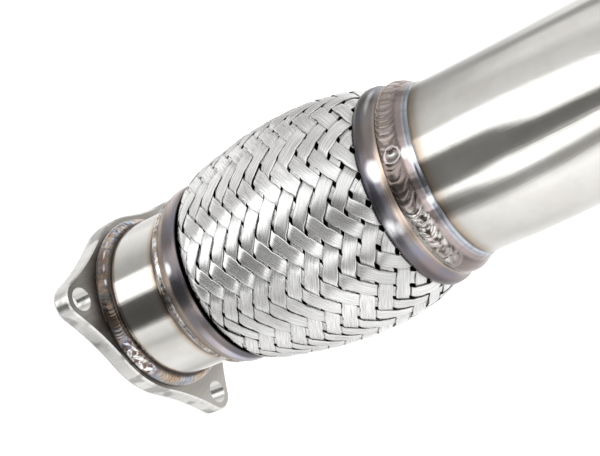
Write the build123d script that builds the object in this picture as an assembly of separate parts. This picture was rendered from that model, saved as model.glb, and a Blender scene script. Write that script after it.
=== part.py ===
"""Turbo downpipe, lower end: a three-bolt flange, a short flange tube, a braided
flex section between two pressed end caps, and a mandrel-bent main pipe.

Frame: millimetres. +Z is the flex axis, away from the flange. The origin is the
centre of the flange's mating face, and the flange stands on Z = 0. The main pipe
bends towards +X.

Everything is 304 stainless sheet, tube and plate, joined by weld beads.
"""
import math
import os

from build123d import *

# ---------------------------------------------------------------- dimensions
PIPE_R = 38.1            # 76.2 mm (3 in) tube, outside radius
WALL = 1.6               # tube wall
BORE_R = PIPE_R - WALL   # 36.5

FLANGE_T = 8.0           # plate thickness
FLANGE_RING_R = 44.8     # plate edge between the ears
BOLT_PCD = 106.4         # three bolts, 92.1 mm (3-5/8 in) hole to hole
BOLT_R = 5.5             # clearance hole for an M10 or 3/8 in bolt
EAR_R = 8.9              # ear radius round each hole
EAR_FILLET_R = 120.0     # hollow between ear and ring
FIRST_BOLT_DEG = 35.3    # measured from +X, then every 120 degrees
FLANGE_EDGE = 0.7        # broken edges of the plate

TUBE_RECESS = 1.5        # the flange tube stops short of the mating face
FLANGE_WELD_R = 42.7     # outer toe of the fillet weld on the plate
FLANGE_WELD_L = 6.6      # its leg along the tube

LOWER_RIM = 57.3         # braid-side rim of the lower cap
UPPER_RIM = 153.6        # braid-side rim of the upper cap
CAP_L = 12.0             # cap length, rim to welded end
INSERT = 5.0             # tube ends stop this far behind each rim
LOWER_LIP_IN = 42.1      # inside of the lower cap's open lip
UPPER_LIP_IN = 43.3      # inside of the upper cap's open lip
CRIMP_R = 39.6           # inside of the crimped necks, on the braid

BELLOWS_T = 0.5          # two plies
BELLOWS_ROOT = 38.95     # mid-wall radius of the roots
BELLOWS_CREST = 44.8     # mid-wall radius of the crests
CONVOLUTIONS = 9
LINER_T = 0.5            # interlocked strip
LINER_PITCH = 6.0

BEND_START = 182.4       # end of the straight run above the flex
BEND_R = 114.3           # centreline radius, 1.5 times the tube
BEND_DEG = 45.0
TAIL = 60.0              # straight run to the plain end

os.makedirs("parts", exist_ok=True)


def turned(edges):
    """A solid of revolution about Z from closed (r, z) edges drawn in XZ."""
    face = make_face(edges)
    return revolve(face, axis=Axis.Z, revolution_arc=360)


def pt(r, z):
    return (r, 0, z)


def ring(points):
    """Turned solid from a closed polygon of (r, z) points."""
    return turned(Polyline(*[pt(*p) for p in points], close=True).edges())


# ---------------------------------------------------------------- flange
def flange_plate():
    ring_c = FLANGE_RING_R
    d = BOLT_PCD / 2
    # an ear outline: arcs round the hole, hollow fillets back to the ring
    big = ring_c + EAR_FILLET_R
    small = EAR_R + EAR_FILLET_R
    gamma = math.acos((big**2 + d**2 - small**2) / (2 * big * d))
    edges = []
    first = None
    last = None

    def polar(r, a):
        return (r * math.cos(a), r * math.sin(a))

    for k in range(3):
        a = math.radians(FIRST_BOLT_DEG + 120 * k)
        ec = polar(d, a)
        for side in (-1, 1):
            fc = polar(big, a + side * gamma)
            on_ring = polar(ring_c, a + side * gamma)
            u = ((ec[0] - fc[0]) / small, (ec[1] - fc[1]) / small)
            on_ear = (fc[0] + u[0] * EAR_FILLET_R, fc[1] + u[1] * EAR_FILLET_R)
            v = ((on_ring[0] - fc[0]) / EAR_FILLET_R, (on_ring[1] - fc[1]) / EAR_FILLET_R)
            m = (u[0] + v[0], u[1] + v[1])
            ml = math.hypot(*m)
            mid = (fc[0] + m[0] / ml * EAR_FILLET_R, fc[1] + m[1] / ml * EAR_FILLET_R)
            if side == -1:
                if last is not None:
                    a0 = math.radians(FIRST_BOLT_DEG + 120 * k) - math.radians(60)
                    edges.append(ThreePointArc(last, polar(ring_c, a0), on_ring))
                else:
                    first = on_ring
                edges.append(ThreePointArc(on_ring, mid, on_ear))
                ear_from = on_ear
            else:
                tip = polar(d + EAR_R, a)
                edges.append(ThreePointArc(ear_from, tip, on_ear))
                edges.append(ThreePointArc(on_ear, mid, on_ring))
                last = on_ring
    a0 = math.radians(FIRST_BOLT_DEG - 60)
    edges.append(ThreePointArc(last, polar(ring_c, a0), first))
    plate = extrude(make_face(edges), FLANGE_T, dir=(0, 0, 1))
    rim = [
        e
        for e in plate.edges()
        if abs(e.bounding_box().size.Z) < 1e-6
    ]
    plate = chamfer(rim, FLANGE_EDGE)
    plate -= Pos(0, 0, FLANGE_T / 2) * Cylinder(PIPE_R, FLANGE_T + 4)
    for k in range(3):
        a = math.radians(FIRST_BOLT_DEG + 120 * k)
        plate -= Pos(d * math.cos(a), d * math.sin(a), FLANGE_T / 2) * Cylinder(
            BOLT_R, FLANGE_T + 4
        )
    return plate


# ---------------------------------------------------------------- turned pieces
def cap(rim, up, outside, lip_in, lip_depth, crimp_u):
    """Pressed end cap. u runs from the open rim towards the tube; up is the
    direction of u along Z (-1 for the lower cap, +1 for the upper). The outside
    is given as (u, r) points, the inside is a plain lip, a cone and a crimped
    neck that holds the braid on the bellows cuff."""

    def p(r, u):
        return pt(r, rim + up * u)

    r0 = outside[0][1]
    outer = Spline(*[p(r, u) for u, r in outside])
    return turned(
        [
            Line(p(lip_in, 0.0), p(r0 - 0.5, 0.0)),
            ThreePointArc(p(r0 - 0.5, 0.0), p(r0 - 0.14, 0.15), p(r0, 0.5)),
            outer,
            Line(p(outside[-1][1], CAP_L), p(CRIMP_R, CAP_L)),
            Line(p(CRIMP_R, CAP_L), p(CRIMP_R, crimp_u)),
            Line(p(CRIMP_R, crimp_u), p(lip_in, lip_depth)),
            Line(p(lip_in, lip_depth), p(lip_in, 0.0)),
        ]
    )


def cap_weld(rim, up, crown_line):
    """Weld that closes the cap's end onto the tube. It follows the end faces of
    the cap, braid and bellows, then the tube, and is crowned outside. The crown
    is given as (u, r) from the cap to the toe on the tube."""

    def p(r, u):
        return pt(r, rim + up * u)

    toe = crown_line[-1][0]
    crown = Spline(*[p(r, u) for u, r in crown_line])
    return turned(
        [
            crown,
            Line(p(PIPE_R, toe), p(PIPE_R, CAP_L)),
            Line(p(PIPE_R, CAP_L), p(crown_line[0][1], CAP_L)),
        ]
    )


def flange_weld():
    z0 = FLANGE_T
    return turned(
        [
            Line(pt(PIPE_R, z0), pt(FLANGE_WELD_R, z0)),
            ThreePointArc(
                pt(FLANGE_WELD_R, z0),
                pt(PIPE_R + 2.75, z0 + 4.05),
                pt(PIPE_R, z0 + FLANGE_WELD_L),
            ),
            Line(pt(PIPE_R, z0 + FLANGE_WELD_L), pt(PIPE_R, z0)),
        ]
    )


# outside of each cap as (u, r), from the open rim to the welded end
LOWER_CAP_LINE = [(0.5, 42.9), (2.0, 43.3), (7.0, 43.35), (9.3, 42.7), (12.0, 41.5)]
UPPER_CAP_LINE = [(0.5, 44.1), (2.0, 44.6), (4.2, 44.3), (7.0, 42.5), (12.0, 41.5)]

# crown of each cap weld as (u, r), from the cap to the toe on the tube
LOWER_CROWN = [(12.0, 41.5), (13.2, 41.6), (14.7, 41.0), (16.5, 39.5), (18.5, 38.1)]
UPPER_CROWN = [(12.0, 41.5), (13.4, 41.5), (15.4, 40.8), (17.6, 39.7), (20.0, 38.8), (22.2, 38.1)]

# the braid's outside as (z, r), between the two crimped necks
BRAID_LINE = [
    (LOWER_RIM - 4.2, 39.6),
    (LOWER_RIM - 2.0, 39.9),
    (LOWER_RIM + 0.0, 40.9),
    (LOWER_RIM + 2.4, 43.4),
    (LOWER_RIM + 7.2, 46.6),
    (LOWER_RIM + 16.7, 48.6),
    (LOWER_RIM + 26.7, 50.3),
    (LOWER_RIM + 36.7, 51.6),
    (LOWER_RIM + 45.7, 52.3),
    (LOWER_RIM + 54.7, 52.6),
    (LOWER_RIM + 64.7, 52.2),
    (LOWER_RIM + 74.7, 50.9),
    (LOWER_RIM + 82.7, 49.3),
    (LOWER_RIM + 90.7, 46.9),
    (UPPER_RIM - 1.3, 44.3),
    (UPPER_RIM + 0.3, 42.6),
    (UPPER_RIM + 2.2, 41.0),
    (UPPER_RIM + 4.4, 39.95),
    (UPPER_RIM + 6.6, 39.6),
]


# the braid's inside, the same way, from the lower to the upper neck
BRAID_INSIDE = [
    (LOWER_RIM + 0.7, 39.6),
    (LOWER_RIM + 2.9, 42.4),
    (LOWER_RIM + 7.4, 45.4),
    (LOWER_RIM + 16.7, 47.5),
    (LOWER_RIM + 26.7, 49.2),
    (LOWER_RIM + 36.7, 50.5),
    (LOWER_RIM + 45.7, 51.2),
    (LOWER_RIM + 54.7, 51.5),
    (LOWER_RIM + 64.7, 51.1),
    (LOWER_RIM + 74.7, 49.8),
    (LOWER_RIM + 82.7, 48.1),
    (LOWER_RIM + 90.4, 45.7),
    (UPPER_RIM - 1.9, 43.3),
    (UPPER_RIM + 0.2, 41.2),
    (UPPER_RIM + 2.2, 39.8),
]


def braid():
    neck_lo, neck_hi = LOWER_RIM - CAP_L, UPPER_RIM + CAP_L
    out0, out1 = BRAID_LINE[0][0], BRAID_LINE[-1][0]
    in0, in1 = LOWER_RIM - 1.0, UPPER_RIM + 5.0
    outer = Spline(
        *[pt(r, z) for z, r in BRAID_LINE],
        tangents=[(0, 0, 1), (0, 0, 1)],
    )
    inner = Spline(*[pt(r, z) for z, r in BRAID_INSIDE[::-1]])
    r_in = CRIMP_R - 1.0
    return turned(
        [
            Line(pt(CRIMP_R, neck_lo), pt(CRIMP_R, out0)),
            outer,
            Line(pt(CRIMP_R, out1), pt(CRIMP_R, neck_hi)),
            Line(pt(CRIMP_R, neck_hi), pt(r_in, neck_hi)),
            Line(pt(r_in, neck_hi), pt(r_in, in1)),
            Line(pt(r_in, in1), pt(BRAID_INSIDE[-1][1], BRAID_INSIDE[-1][0])),
            inner,
            Line(pt(BRAID_INSIDE[0][1], BRAID_INSIDE[0][0]), pt(r_in, in0)),
            Line(pt(r_in, in0), pt(r_in, neck_lo)),
            Line(pt(r_in, neck_lo), pt(CRIMP_R, neck_lo)),
        ]
    )


def bellows():
    """U-shaped convolutions between two plain cuffs, all one formed tube."""
    cuff = PIPE_R + BELLOWS_T / 2
    lo, hi = LOWER_RIM - CAP_L, UPPER_RIM + CAP_L
    z0, z1 = LOWER_RIM + 7.0, UPPER_RIM - 8.0
    a = (z1 - z0) / CONVOLUTIONS / 4
    h = BELLOWS_T / 2
    s = math.sqrt(0.5)

    def side(sign):
        """sign +1 is the outside of the wall, -1 the inside."""
        out = []
        root_r, crest_r = a - sign * h, a + sign * h
        base = BELLOWS_ROOT + sign * h
        out.append(Line(pt(cuff + sign * h, lo), pt(cuff + sign * h, z0 - 3.0)))
        out.append(Line(pt(cuff + sign * h, z0 - 3.0), pt(base, z0)))
        for k in range(CONVOLUTIONS):
            z = z0 + 4 * a * k
            rc, cc = BELLOWS_ROOT + a, BELLOWS_CREST - a
            out.append(ThreePointArc(
                pt(rc - root_r, z), pt(rc - root_r * s, z + root_r * s), pt(rc, z + root_r)))
            if cc > rc:
                out.append(Line(pt(rc, z + root_r), pt(cc, z + root_r)))
            out.append(ThreePointArc(
                pt(cc, z + root_r), pt(cc + crest_r, z + 2 * a), pt(cc, z + 4 * a - root_r)))
            out.append(Line(pt(cc, z + 4 * a - root_r), pt(rc, z + 4 * a - root_r)))
            out.append(ThreePointArc(
                pt(rc, z + 4 * a - root_r),
                pt(rc - root_r * s, z + 4 * a - root_r * s),
                pt(rc - root_r, z + 4 * a)))
        out.append(Line(pt(base, z1), pt(cuff + sign * h, z1 + 3.0)))
        out.append(Line(pt(cuff + sign * h, z1 + 3.0), pt(cuff + sign * h, hi)))
        return out

    return turned(
        side(1)
        + side(-1)
        + [
            Line(pt(cuff + h, lo), pt(cuff - h, lo)),
            Line(pt(cuff + h, hi), pt(cuff - h, hi)),
        ]
    )


def liner():
    """Interlocked strip liner between the two tube ends: alternate inner and
    outer lands joined by short radial walls, with a plain ring at each end."""
    lo, hi = LOWER_RIM - INSERT, UPPER_RIM + INSERT
    end = 5.0
    n = int((hi - lo - 2 * end) / LINER_PITCH)
    pitch = (hi - lo - 2 * end) / n
    low_in, high_in = BORE_R, BORE_R + 0.85
    inner, outer = [(BORE_R, lo)], [(PIPE_R, lo), (PIPE_R, lo + end)]
    z = lo + end
    t = LINER_T
    for k in range(n):
        zz = z + k * pitch
        # outer land over the first half, inner land over the second
        inner += [(BORE_R, zz + t), (high_in, zz + t), (high_in, zz + pitch / 2), (low_in, zz + pitch / 2)]
        outer += [(high_in + t, zz), (high_in + t, zz + pitch / 2 + t), (low_in + t, zz + pitch / 2 + t), (low_in + t, zz + pitch)]
    outer += [(PIPE_R, hi - end), (PIPE_R, hi)]
    inner += [(BORE_R, hi)]
    pts = outer + inner[::-1]
    clean = [pts[0]]
    for p in pts[1:]:
        if math.hypot(p[0] - clean[-1][0], p[1] - clean[-1][1]) > 1e-6:
            clean.append(p)
    return ring(clean)


def flange_tube():
    return ring(
        [
            (BORE_R, TUBE_RECESS),
            (PIPE_R, TUBE_RECESS),
            (PIPE_R, LOWER_RIM - INSERT),
            (BORE_R, LOWER_RIM - INSERT),
        ]
    )


def main_pipe():
    z0 = UPPER_RIM + INSERT
    a = math.radians(BEND_DEG)
    straight = Pos(0, 0, z0) * extrude(
        Circle(PIPE_R) - Circle(BORE_R), BEND_START - z0
    )
    section = Pos(0, 0, BEND_START) * (Circle(PIPE_R) - Circle(BORE_R))
    bend_axis = Axis((BEND_R, 0, BEND_START), (0, 1, 0))
    bend = revolve(section, axis=bend_axis, revolution_arc=BEND_DEG)
    end = Plane(
        origin=(
            BEND_R * (1 - math.cos(a)),
            0,
            BEND_START + BEND_R * math.sin(a),
        ),
        x_dir=(math.cos(a), 0, -math.sin(a)),
        z_dir=(math.sin(a), 0, math.cos(a)),
    )
    tail = extrude(end * (Circle(PIPE_R) - Circle(BORE_R)), TAIL)
    return straight + bend + tail


PIECES = {
    "flange": flange_plate(),
    "flange_tube": flange_tube(),
    "flange_weld": flange_weld(),
    "lower_cap": cap(LOWER_RIM, -1, LOWER_CAP_LINE, LOWER_LIP_IN, 3.0, 5.2),
    "lower_cap_weld": cap_weld(LOWER_RIM, -1, LOWER_CROWN),
    "bellows": bellows(),
    "interlock_liner": liner(),
    "outer_braid": braid(),
    "upper_cap": cap(UPPER_RIM, 1, UPPER_CAP_LINE, UPPER_LIP_IN, 2.2, 7.6),
    "upper_cap_weld": cap_weld(UPPER_RIM, 1, UPPER_CROWN),
    "main_pipe": main_pipe(),
}

for name, shape in PIECES.items():
    shape.label = name
    export_step(shape, f"parts/{name}.step")
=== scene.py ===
import math

import bpy
import numpy as np
from mathutils import Matrix, Vector


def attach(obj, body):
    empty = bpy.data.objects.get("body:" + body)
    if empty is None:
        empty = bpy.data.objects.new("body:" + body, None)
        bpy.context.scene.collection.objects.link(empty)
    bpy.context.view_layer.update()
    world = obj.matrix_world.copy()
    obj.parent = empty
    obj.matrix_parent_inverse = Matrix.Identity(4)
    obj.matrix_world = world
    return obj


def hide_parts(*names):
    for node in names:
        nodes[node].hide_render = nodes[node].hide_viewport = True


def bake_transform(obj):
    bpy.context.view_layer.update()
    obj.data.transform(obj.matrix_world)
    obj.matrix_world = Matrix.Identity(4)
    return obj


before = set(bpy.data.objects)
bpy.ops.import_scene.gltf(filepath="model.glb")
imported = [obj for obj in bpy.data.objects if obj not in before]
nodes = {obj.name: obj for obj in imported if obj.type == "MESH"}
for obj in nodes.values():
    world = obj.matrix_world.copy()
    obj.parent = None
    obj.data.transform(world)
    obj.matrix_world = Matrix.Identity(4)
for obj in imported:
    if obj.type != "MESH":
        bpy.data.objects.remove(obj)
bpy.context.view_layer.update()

# ------------------------------------------------------------------ sizes
# All numbers here are millimetres in the row frame; meshes are made in metres.
MM = 0.001
PIPE_R = 38.1
BORE_R = 36.5
FLANGE_T = 8.0
LOWER_RIM, UPPER_RIM = 57.3, 153.6
CAP_L = 12.0
INSERT = 5.0
BEND_START, BEND_R, BEND_DEG, TAIL = 182.4, 114.3, 45.0, 60.0
FACING = 172.1  # azimuth that faces the camera, degrees


# ------------------------------------------------------------------ meshes
def make_mesh(name, verts, faces, smooth=True, uv=None):
    me = bpy.data.meshes.new(name)
    me.from_pydata((np.asarray(verts) * MM).tolist(), [], faces)
    me.update()
    if smooth:
        me.polygons.foreach_set("use_smooth", [True] * len(me.polygons))
    obj = bpy.data.objects.new(name, me)
    bpy.context.scene.collection.objects.link(obj)
    return obj


def grid_faces(nu, nv, close_u=False, close_v=False, offset=0, flip=False):
    """Quads over an nu by nv grid of points, row by row."""
    iu = np.arange(nu if close_u else nu - 1)
    iv = np.arange(nv if close_v else nv - 1)
    a, b = np.meshgrid(iu, iv, indexing="ij")
    a2, b2 = (a + 1) % nu, (b + 1) % nv
    q = np.stack([a * nv + b, a2 * nv + b, a2 * nv + b2, a * nv + b2], -1)
    q = q.reshape(-1, 4) + offset
    if flip:
        q = q[:, ::-1]
    return q.tolist()


def turned(name, loop, seg=192, bump=None):
    """A closed (r, z) loop turned about Z. The loop runs with the metal on its
    left when r points right and z up. bump(theta, k, r, z) may move points."""
    loop = np.asarray(loop, float)
    n = len(loop)
    th = np.linspace(0, 2 * math.pi, seg, endpoint=False)
    r = np.repeat(loop[None, :, 0], seg, 0)
    z = np.repeat(loop[None, :, 1], seg, 0)
    if bump is not None:
        r, z = bump(th[:, None], r, z)
    pts = np.stack([r * np.cos(th)[:, None], r * np.sin(th)[:, None], z], -1)
    return make_mesh(name, pts.reshape(-1, 3), grid_faces(seg, n, True, True))


def smooth_line(points, step=0.5):
    """Points along a monotone cubic through (u, v) points with u rising."""
    p = np.asarray(points, float)
    u, v = p[:, 0], p[:, 1]
    h = np.diff(u)
    d = np.diff(v) / h
    m = np.zeros(len(u))
    for i in range(1, len(u) - 1):
        if d[i - 1] * d[i] > 0:
            w1, w2 = 2 * h[i] + h[i - 1], h[i] + 2 * h[i - 1]
            m[i] = (w1 + w2) / (w1 / d[i - 1] + w2 / d[i])
    m[0], m[-1] = d[0], d[-1]
    n = max(2, int(round((u[-1] - u[0]) / step)) + 1)
    uu = np.linspace(u[0], u[-1], n)
    k = np.clip(np.searchsorted(u, uu, side="right") - 1, 0, len(h) - 1)
    t = (uu - u[k]) / h[k]
    vv = (
        (2 * t**3 - 3 * t**2 + 1) * v[k]
        + (t**3 - 2 * t**2 + t) * h[k] * m[k]
        + (-2 * t**3 + 3 * t**2) * v[k + 1]
        + (t**3 - t**2) * h[k] * m[k + 1]
    )
    return uu, vv


# ------------------------------------------------------------------ nodes
class Tree:
    """Short calls for building a node tree."""

    def __init__(self, tree):
        self.t = tree
        tree.nodes.clear()

    def add(self, kind, inputs=None, **props):
        n = self.t.nodes.new(kind)
        for k, v in props.items():
            setattr(n, k, v)
        for k, v in (inputs or {}).items():
            self.put(n.inputs[k], v)
        return n

    def put(self, socket, value):
        if isinstance(value, bpy.types.NodeSocket):
            self.t.links.new(value, socket)
        elif isinstance(value, (tuple, list)) and len(value) == 3 and socket.type == "RGBA":
            socket.default_value = (*value, 1.0)
        else:
            socket.default_value = value

    def math(self, op, a, b=0.0, c=0.0, clamp=False):
        n = self.add("ShaderNodeMath", operation=op, use_clamp=clamp)
        for i, v in enumerate((a, b, c)):
            self.put(n.inputs[i], v)
        return n.outputs[0]

    def step(self, x, lo, hi, out_lo=0.0, out_hi=1.0):
        n = self.add("ShaderNodeMapRange", interpolation_type="SMOOTHSTEP", clamp=True)
        for k, v in ((0, x), (1, lo), (2, hi), (3, out_lo), (4, out_hi)):
            self.put(n.inputs[k], v)
        return n.outputs[0]

    def mix(self, fac, a, b, blend="MIX"):
        n = self.add("ShaderNodeMix", data_type="RGBA", blend_type=blend)
        self.put(n.inputs[0], fac)
        self.put(n.inputs[6], a)
        self.put(n.inputs[7], b)
        return n.outputs[2]

    def ramp(self, fac, stops, interp="LINEAR"):
        n = self.add("ShaderNodeValToRGB")
        cr = n.color_ramp
        cr.interpolation = interp
        while len(cr.elements) > 1:
            cr.elements.remove(cr.elements[-1])
        first = True
        for pos, col in stops:
            if isinstance(col, (int, float)):
                col = (col, col, col)
            if first:
                e = cr.elements[0]
                e.position = pos
                first = False
            else:
                e = cr.elements.new(pos)
            e.color = (*col, 1.0)
        self.put(n.inputs[0], fac)
        return n.outputs[0]

    def noise(self, vec, scale, detail=3.0, rough=0.55):
        n = self.add("ShaderNodeTexNoise")
        self.put(n.inputs["Vector"], vec)
        self.put(n.inputs["Scale"], scale)
        self.put(n.inputs["Detail"], detail)
        self.put(n.inputs["Roughness"], rough)
        return n.outputs["Fac"]

    def scaled(self, vec, sx, sy, sz, rot=(0, 0, 0)):
        n = self.add("ShaderNodeMapping")
        self.put(n.inputs["Vector"], vec)
        n.inputs["Scale"].default_value = (sx, sy, sz)
        n.inputs["Rotation"].default_value = rot
        return n.outputs[0]

    def split(self, vec):
        n = self.add("ShaderNodeSeparateXYZ")
        self.put(n.inputs[0], vec)
        return n.outputs

    def join(self, x, y, z):
        n = self.add("ShaderNodeCombineXYZ")
        for i, v in enumerate((x, y, z)):
            self.put(n.inputs[i], v)
        return n.outputs[0]


def facing_coords(g, vec):
    """x', y', z with x' towards the side that faces the camera, and the angle
    about Z from there in degrees."""
    v = g.scaled(vec, 1, 1, 1, rot=(0, 0, -math.radians(FACING)))
    x, y, z = g.split(v)
    ang = g.math("MULTIPLY", g.math("ARCTAN2", y, x), 180 / math.pi)
    return x, y, z, ang


def metal(name, build):
    """A metal material; build(g, vec, x, y, z, ang) gives colour, roughness and
    a list of (height, strength, distance) bumps."""
    mat = bpy.data.materials.new(name)
    mat.use_nodes = True
    g = Tree(mat.node_tree)
    out = g.add("ShaderNodeOutputMaterial")
    bsdf = g.add("ShaderNodeBsdfPrincipled")
    g.t.links.new(bsdf.outputs[0], out.inputs[0])
    bsdf.inputs["Metallic"].default_value = 1.0
    vec = g.add("ShaderNodeTexCoord").outputs["Object"]
    x, y, z, ang = facing_coords(g, vec)
    zmm = g.math("MULTIPLY", z, 1000.0)
    colour, rough, bumps = build(g, vec, x, y, zmm, ang)
    g.put(bsdf.inputs["Base Color"], colour)
    g.put(bsdf.inputs["Roughness"], rough)
    normal = None
    for height, strength, distance in bumps:
        b = g.add("ShaderNodeBump")
        b.inputs["Strength"].default_value = strength
        b.inputs["Distance"].default_value = distance
        g.put(b.inputs["Height"], height)
        if normal is not None:
            g.put(b.inputs["Normal"], normal)
        normal = b.outputs[0]
    if normal is not None:
        g.put(bsdf.inputs["Normal"], normal)
    return mat


def paint(obj, mat):
    if obj.material_slots:
        for s in obj.material_slots:
            s.link = "OBJECT"
            s.material = mat
    else:
        obj.data.materials.append(mat)


def ring_lines(g, zmm, ang, per_mm):
    """Fine lines round the axis: noise stretched round the tube."""
    a = g.math("MULTIPLY", ang, 0.012)
    n = g.join(a, g.math("MULTIPLY", zmm, per_mm), 0.0)
    return g.noise(n, 1.0, 4.0, 0.7)


def tube_build(toe_lo, toe_hi, reach=4.0, ring=0.0):
    """Polished tube. Heat tint runs from each weld toe onto the tube; near the pipe's toe and beside the flange bead
    painted shade is mixed in.
    """

    def build(g, vec, x, y, z, ang):
        blotch = g.noise(vec, 70.0, 3.0, 0.6)
        fine = ring_lines(g, z, ang, 3.0)
        long_marks = g.noise(g.join(g.math("MULTIPLY", ang, 0.5), g.math("MULTIPLY", z, 0.02), 2.0), 1.0, 3.0, 0.6)
        col = g.mix(g.step(blotch, 0.35, 0.7), (0.645, 0.63, 0.60), (0.69, 0.68, 0.66))
        wob = g.math("MULTIPLY", g.math("SUBTRACT", g.noise(g.join(g.math("MULTIPLY", ang, 0.05), 0.0, 0.0), 1.0, 3.0, 0.6), 0.5), 1.6)
        for toe, sign in ((toe_lo, 1.0), (toe_hi, -1.0)):
            if toe is None:
                continue
            d = g.math("MULTIPLY", g.math("SUBTRACT", z, toe), sign)
            d = g.math("ADD", d, wob)
            tint = g.ramp(
                g.math("DIVIDE", d, reach * 1.6, clamp=True),
                [
                    (0.0, (0.20, 0.20, 0.23)),
                    (0.07, (0.24, 0.21, 0.20)),
                    (0.15, (0.40, 0.325, 0.25)),
                    (0.26, (0.53, 0.455, 0.375)),
                    (0.45, (0.59, 0.53, 0.46)),
                    (0.70, (0.635, 0.60, 0.56)),
                    (0.95, (0.66, 0.645, 0.62)),
                ],
            )
            if toe_hi is None:
                # painted shade: near the pipe's toe the tint is darker or lighter with the angle from the camera side
                tint = shade(g, tint, ang, [(-180, 1.0), (-110, 0.9), (-75, 0.81), (-45, 0.69), (-15, 0.96), (15, 1.0), (45, 0.96), (75, 0.83), (120, 0.89), (180, 1.0)])
            col = g.mix(g.step(d, reach * 0.5, reach * 1.5), tint, col)
            if toe_hi is None:
                # a brown heat-tint haze that fades out along the pipe; its strength round the pipe is painted shade
                haze_and_shade = by_angle(g, ang, [(-180, 0.2), (-110, 0.3), (-75, 0.34), (-45, 0.28), (-15, 0.23), (15, 0.38), (45, 0.13), (75, 0.02), (120, 0.09), (180, 0.2)])
                col = g.mix(g.math("MULTIPLY", haze_and_shade, g.step(d, 11.0, 0.5)), col, (0.21, 0.175, 0.145))
        if ring:
            # a dull grey ring of painted shade beside the flange bead, with a painted highlight line in it; its
            # strength round the tube changes with the angle from the camera side
            d = g.math("ADD", g.math("SUBTRACT", z, toe_lo), g.math("MULTIPLY", wob, 0.35))
            grey = g.ramp(
                g.math("DIVIDE", d, ring * 1.5, clamp=True),
                [
                    (0.0, (0.10, 0.09, 0.085)),
                    (0.24, (0.22, 0.20, 0.18)),
                    (0.36, (0.62, 0.58, 0.53)),
                    (0.48, (0.24, 0.215, 0.19)),
                    (0.68, (0.34, 0.31, 0.28)),
                    (0.85, (0.52, 0.49, 0.455)),
                    (1.0, (0.64, 0.62, 0.59)),
                ],
            )
            side = by_angle(g, ang, [(-180, 0.5), (-80, 0.55), (-60, 0.85), (25, 0.9), (55, 0.75), (90, 0.55), (180, 0.5)])
            col = g.mix(g.math("MULTIPLY", side, g.step(d, ring * 1.45, ring * 1.1)), col, grey)
        rough = g.step(fine, 0.3, 0.75, 0.08, 0.15)
        return col, rough, [(fine, 0.04, 0.0003), (blotch, 0.02, 0.002), (long_marks, 0.02, 0.001)]

    return build


def by_angle(g, ang, pairs):
    """A ramp over the angle from the facing side."""
    return g.ramp(g.math("ADD", g.math("DIVIDE", ang, 360.0), 0.5), [((a + 180.0) / 360.0, c) for a, c in pairs])


def shade(g, col, ang, pairs, where=None):
    """Multiply a colour by a factor (0 to 4) that changes round the part."""
    f = g.math("MULTIPLY", by_angle(g, ang, [(a, c / 4.0) for a, c in pairs]), 4.0)
    out = [g.math("MINIMUM", g.math("MULTIPLY", c, f), 0.88) for c in g.split(col)]
    out = g.join(*out)
    return out if where is None else g.mix(where, col, out)


def tinted(g, col, factor):
    """One colour times another."""
    return g.join(*[g.math("MULTIPLY", a, b) for a, b in zip(g.split(col), g.split(factor))])


def spots(g, ang, u, marks):
    """Soft round marks at (angle, u, half width in degrees, half height, strength)."""
    total = None
    for a, c, w, h, k in marks:
        dx = g.math("DIVIDE", g.math("SUBTRACT", ang, a), w)
        dy = g.math("DIVIDE", g.math("SUBTRACT", u, c), h)
        d = g.math("SQRT", g.math("ADD", g.math("MULTIPLY", dx, dx), g.math("MULTIPLY", dy, dy)))
        m = g.step(d, 1.0, 0.15, 0.0, k)
        total = m if total is None else g.math("MAXIMUM", total, m)
    return total


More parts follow.
